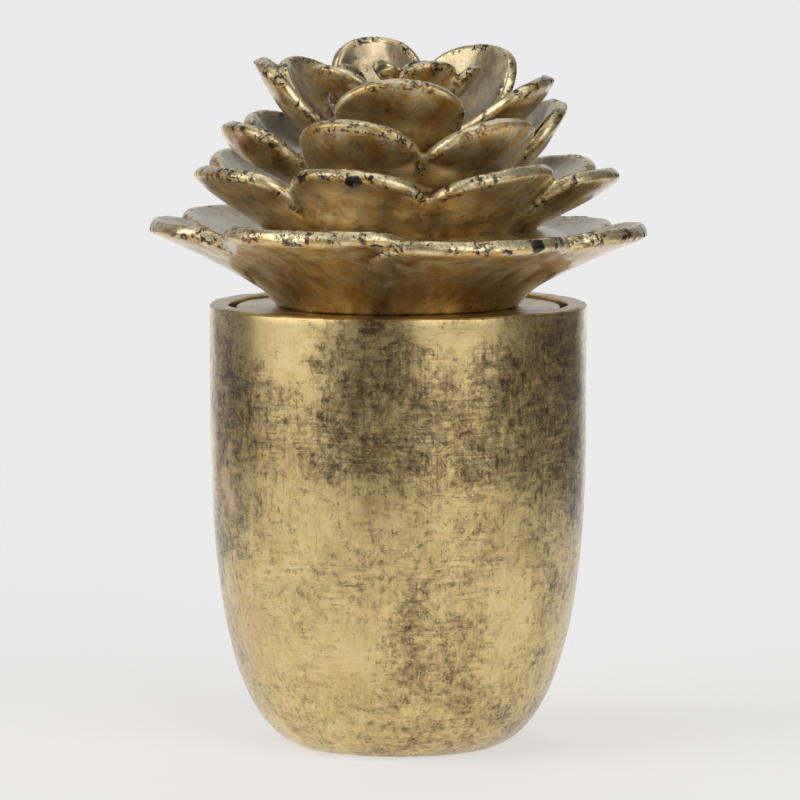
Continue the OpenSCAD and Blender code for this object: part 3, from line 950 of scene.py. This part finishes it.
def petal_material():
    made, n = material("rosette_leaf_aged")
    p = position(n)
    rim = n.attribute("rim")
    upper = n.attribute("upper")
    hollow = n.attribute("hollow")
    along = n.attribute("along")
    under = n.ramp(upper, -0.1, -0.7)
    height = n.separate(p)[2]
    # the upper faces, less so high up and on the lips, get a painted grey reflection
    top = n.times(n.ramp(upper, 0.2, 0.7), n.ramp(height, LID_Z + 48, LID_Z + 62, 1.0, 0.15))
    top = n.times(top, n.ramp(rim, 0.1, 0.7, 1.0, 0.2))

    # low down, where the petals lie almost flat, the soft marks run out along them
    ring = n.vmath("MULTIPLY", p, (1, 1, 0))
    to_drum = n.vmath("SUBTRACT", n.vmath("SCALE", n.vmath("NORMALIZE", ring), scale=FLAT_R), ring)
    share = n.ramp(height, LID_Z + FLAT_HEIGHT[0], LID_Z + FLAT_HEIGHT[1], FLAT_SHARE, 0.0)
    soft = n.vmath("ADD", p, n.vmath("SCALE", to_drum, scale=share))

    cloud = n.ramp(n.noise(soft, 9, 4, 0.6), 0.32, 0.68)
    pool = n.ramp(n.noise(soft, 4.5, 4, 0.6, 0.6, offset=(4, 4, 14)), 0.34, 0.66)
    grain = n.ramp(n.noise(soft, 1.5, 4, 0.7, 0.4, offset=(3, 3, 3)), 0.33, 0.67)
    tone = n.times_plus(cloud, 0.26, 0.40)
    tone = n.times_plus(pool, 0.26, tone)
    tone = n.times_plus(grain, 0.08, tone)
    tone = n.times_plus(rim, 0.22, tone)
    # darker in the hollows: painted shade, together with dirt and lacquer gathered there
    tone = n.times_plus(n.ramp(hollow, 0.02, 0.40), -0.34, tone)
    # painted shade on the inner back petal and painted highlights on three others
    for azimuth, radius, rise, size, change in PAINTED_LIGHT_SPOTS:
        spot = n.ramp(n.distance(p, place_on_petals(azimuth, radius, rise)), size * 0.4, size, 1, 0)
        tone = n.times_plus(spot, change, tone)

    # worn lips: bright leaf with black crumbs and a few large chips
    worn = n.ramp(rim, 0.15, 0.65)
    where = n.ramp(n.noise(p, 7, 2, offset=(1, 70, 9)), 0.40, 0.60)
    crumbs = n.ramp(n.noise(p, 1.8, 4, 0.7, 0.6, offset=(6, 60, 6)), 0.47, 0.58)
    crumbs = n.times(crumbs, n.times(where, worn))
    chips = n.times(n.ramp(n.noise(p, 5.0, 3, 0.6, 0.5, offset=(3, 9, 77)), 0.61, 0.67), worn)
    flecks = n.ramp(n.noise(p, 3, 2, offset=(5, 5, 5)), 0.58, 0.72)
    flecks = n.times(n.lines(p, 2.6, 0.06, 3.0, 0.5), flecks)
    ragged = n.vmath("ADD", p, n.vmath("SCALE", n.colours(p, 3.0, 4), scale=3.0))
    for azimuth, radius, rise, size in CHIPS:
        spot = n.ramp(n.distance(ragged, place_on_petals(azimuth, radius, rise)), size * 0.75, size, 1, 0)
        chips = n.math("MAXIMUM", chips, spot)
    dark = n.math("MAXIMUM", n.times(crumbs, 0.85), chips)
    dark = n.math("MAXIMUM", dark, n.times(flecks, 0.45), clamp=True)
    tone = n.times_plus(dark, -0.95, tone)

    # ochre and amber where the lacquer is thick, under the petals, and a grey bloom here and there
    colour = n.stops(tone, PETAL_TONES)
    ochre = n.times(n.ramp(n.noise(soft, 8, 3, 0.55, 0.4, offset=(40, 4, 14)), 0.48, 0.62), under)
    colour = n.mix(n.times(ochre, 0.75), colour, OCHRE_CAST, "MULTIPLY")
    amber = n.times(n.ramp(n.noise(soft, 5, 4, 0.65, 0.8, offset=(14, 84, 4)), 0.47, 0.58), under)
    amber = n.times(amber, n.ramp(along, 0.35, 0.7))
    colour = n.mix(n.times(amber, 0.8), colour, AMBER_CAST, "MULTIPLY")
    bloom = n.ramp(n.noise(soft, 5.5, 4, 0.65, 0.6, offset=(40, 4, 1)), 0.54, 0.68)
    bloom = n.times(bloom, n.ramp(rim, 0.7, 0.2))
    colour = n.mix(n.times(bloom, 0.55), colour, BLOOM)
    # painted shade under the petals, with the warm cast of the thicker lacquer there
    colour = n.mix(n.times(under, 0.35), colour, UNDER_SHADE_AND_CAST, "MULTIPLY")
    # painted grey reflection on the upper faces
    colour = n.mix(n.times(top, 0.5), colour, PAINTED_TOP_REFLECTION)

    rough = n.ramp(n.noise(p, 6, 4, 0.6, offset=(8, 8, 8)), 0.3, 0.7, 0.20, 0.32, smooth=False)
    rough = n.times_plus(under, 0.12, rough)
    rough = n.times_plus(dark, 0.15, rough)
    bump = n.times_plus(dark, -1.0, n.noise(p, 2.2, 4, 0.55))
    finish_material(n, {
        "Base Color": colour, "Roughness": rough, "Metallic": n.times_plus(bloom, -0.35, 0.85),
        "Coat Weight": 0.8, "Coat Roughness": 0.12, "Coat IOR": 1.5, "IOR": 1.5,
    }, bump, 0.00009)
    return made


def simple_material(name, colour, dark_colour, metallic, rough, size, bump_distance):
    """A plain material with a faint mottle of this size and a roughness between two values."""
    made, n = material(name)
    p = position(n)
    mask = n.ramp(n.noise(p, size, 4, 0.6), 0.35, 0.65)
    finish_material(n, {
        "Base Color": n.mix(mask, colour, dark_colour), "Metallic": metallic,
        "Roughness": n.ramp(n.noise(p, size * 0.6, 3), 0.3, 0.7, rough[0], rough[1], smooth=False),
    }, n.noise(p, size * 0.5, 3), bump_distance)
    return made


def dress(piece, made):
    piece.data.materials.clear()
    piece.data.materials.append(made)


pot_leaf = pot_material()
petal_leaf = petal_material()
dress(pot, pot_leaf)
dress(lid, pot_leaf)
for piece in whorl_pieces:
    dress(piece, petal_leaf)
felt = simple_material(
    "felt_fibres", (0.03, 0.026, 0.022), (0.06, 0.055, 0.05), 0.0, (0.85, 1.0), 0.8, 0.0003)
rubber = simple_material(
    "clear_silicone", (0.62, 0.61, 0.57), (0.50, 0.49, 0.45), 0.0, (0.35, 0.5), 6, 0.00003)
steel = simple_material(
    "zinc_steel", (0.55, 0.55, 0.54), (0.44, 0.44, 0.43), 1.0, (0.28, 0.42), 2.5, 0.00003)
carried = (("foot_pad", felt), ("lid_seal", rubber), ("clamp_washer", steel), ("lock_washer", steel))
for node, made in carried:
    dress(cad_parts[node], made)
dress(stud, steel)
dress(nut, steel)


# ---- Floor ----

SHOWN_GREY = 0.83                # linear grey of what the camera sees behind the object
FLOOR_GLOW = 0.50                # light the floor gives the object
FLOOR_SHOWN_GLOW = 0.53          # and what the camera sees of it, besides what falls on it
FLOOR_GREY = 0.5
FLOOR_FADE = (0.32, 0.62)        # metres from the middle where it fades into the background
FLOOR_R = 700
FLOOR_DROP = 0.02                # below the foot pad
FLOOR_ROUNDS = 96


def floor_material():
    made, n = material("floor")
    p = n.add("ShaderNodeTexCoord").outputs["Object"]
    length = n.add("ShaderNodeVectorMath", operation="LENGTH")
    n.set(length.inputs[0], p)
    fade = n.ramp(length.outputs["Value"], *FLOOR_FADE)
    seen = n.add("ShaderNodeLightPath").outputs["Is Camera Ray"]
    strength = n.value(seen, FLOOR_GLOW, FLOOR_SHOWN_GLOW)
    glow = n.add("ShaderNodeEmission", {"Color": (1.0, 1.0, 1.0), "Strength": strength})
    paper = n.add("ShaderNodeBsdfDiffuse", {"Color": (FLOOR_GREY,) * 3})
    both = n.add("ShaderNodeAddShader", {0: glow.outputs[0], 1: paper.outputs[0]})
    clear = n.add("ShaderNodeBsdfTransparent")
    shader = n.add("ShaderNodeMixShader", {0: fade, 1: both.outputs[0], 2: clear.outputs[0]})
    output = n.add("ShaderNodeOutputMaterial")
    n.set(output.inputs["Surface"], shader.outputs[0])
    return made


angles = np.arange(FLOOR_ROUNDS) * 2 * math.pi / FLOOR_ROUNDS
floor_points = [(FLOOR_R * math.cos(a), FLOOR_R * math.sin(a), -FLOOR_DROP) for a in angles]
floor_points.append((0, 0, -FLOOR_DROP))
floor_faces = [(k, (k + 1) % FLOOR_ROUNDS, FLOOR_ROUNDS) for k in range(FLOOR_ROUNDS)]
floor = make_object("floor", floor_points, floor_faces)
dress(floor, floor_material())


# ---- Light: a studio of soft panels, as the surroundings ----

# Upright panels: degrees from the front at both sides and how soft the sides are, the same for the
# elevation, and the strength
PANELS = [(-94, -38, 5, -4, 55, 9, 1.45), (10, 62, 5, -4, 55, 9, 1.35), (-142, -122, 8, -20, 40, 9, 0.30)]
BACK_START = (142, 158)          # the wall behind, in degrees from the front
BACK_LIGHT = (0.95, 0.40)        # below and above the horizon
TOP_START = (55, 75)             # the ceiling, in degrees of elevation
TOP_LIGHT = 0.65
ROOM_LIGHT = 0.12                # everywhere else


def surroundings():
    world = bpy.data.worlds.new("studio")
    bpy.context.scene.world = world
    world.use_nodes = True
    n = Nodes(world.node_tree)
    direction = n.add("ShaderNodeTexCoord").outputs["Generated"]
    x, y, z = n.separate(direction)
    azimuth = n.times(n.math("ARCTAN2", x, n.times(y, -1.0)), 180 / math.pi)
    elevation = n.times(n.math("ARCSINE", z), 180 / math.pi)

    def between(value, low, high, soft):
        rising = n.ramp(value, low - soft, low + soft)
        return n.times(rising, n.ramp(value, high - soft, high + soft, 1, 0))

    back = n.ramp(n.math("ABSOLUTE", azimuth), *BACK_START)
    light = n.times(back, n.ramp(elevation, -3, 4, *BACK_LIGHT))
    light = n.times_plus(n.ramp(elevation, *TOP_START), TOP_LIGHT, light)
    light = n.math("ADD", light, ROOM_LIGHT)
    for az_low, az_high, az_soft, el_low, el_high, el_soft, strength in PANELS:
        panel = n.times(between(azimuth, az_low, az_high, az_soft),
                        between(elevation, el_low, el_high, el_soft))
        light = n.times_plus(panel, strength, light)
    grey = n.add("ShaderNodeCombineColor", {0: light, 1: light, 2: light}).outputs[0]
    seen = n.add("ShaderNodeLightPath").outputs["Is Camera Ray"]
    shown = n.mix(seen, grey, (SHOWN_GREY,) * 3)
    background = n.add("ShaderNodeBackground", {"Color": shown, "Strength": 1.0})
    output = n.add("ShaderNodeOutputWorld")
    n.set(output.inputs["Surface"], background.outputs[0])


surroundings()
bpy.context.scene.view_settings.view_transform = "Standard"
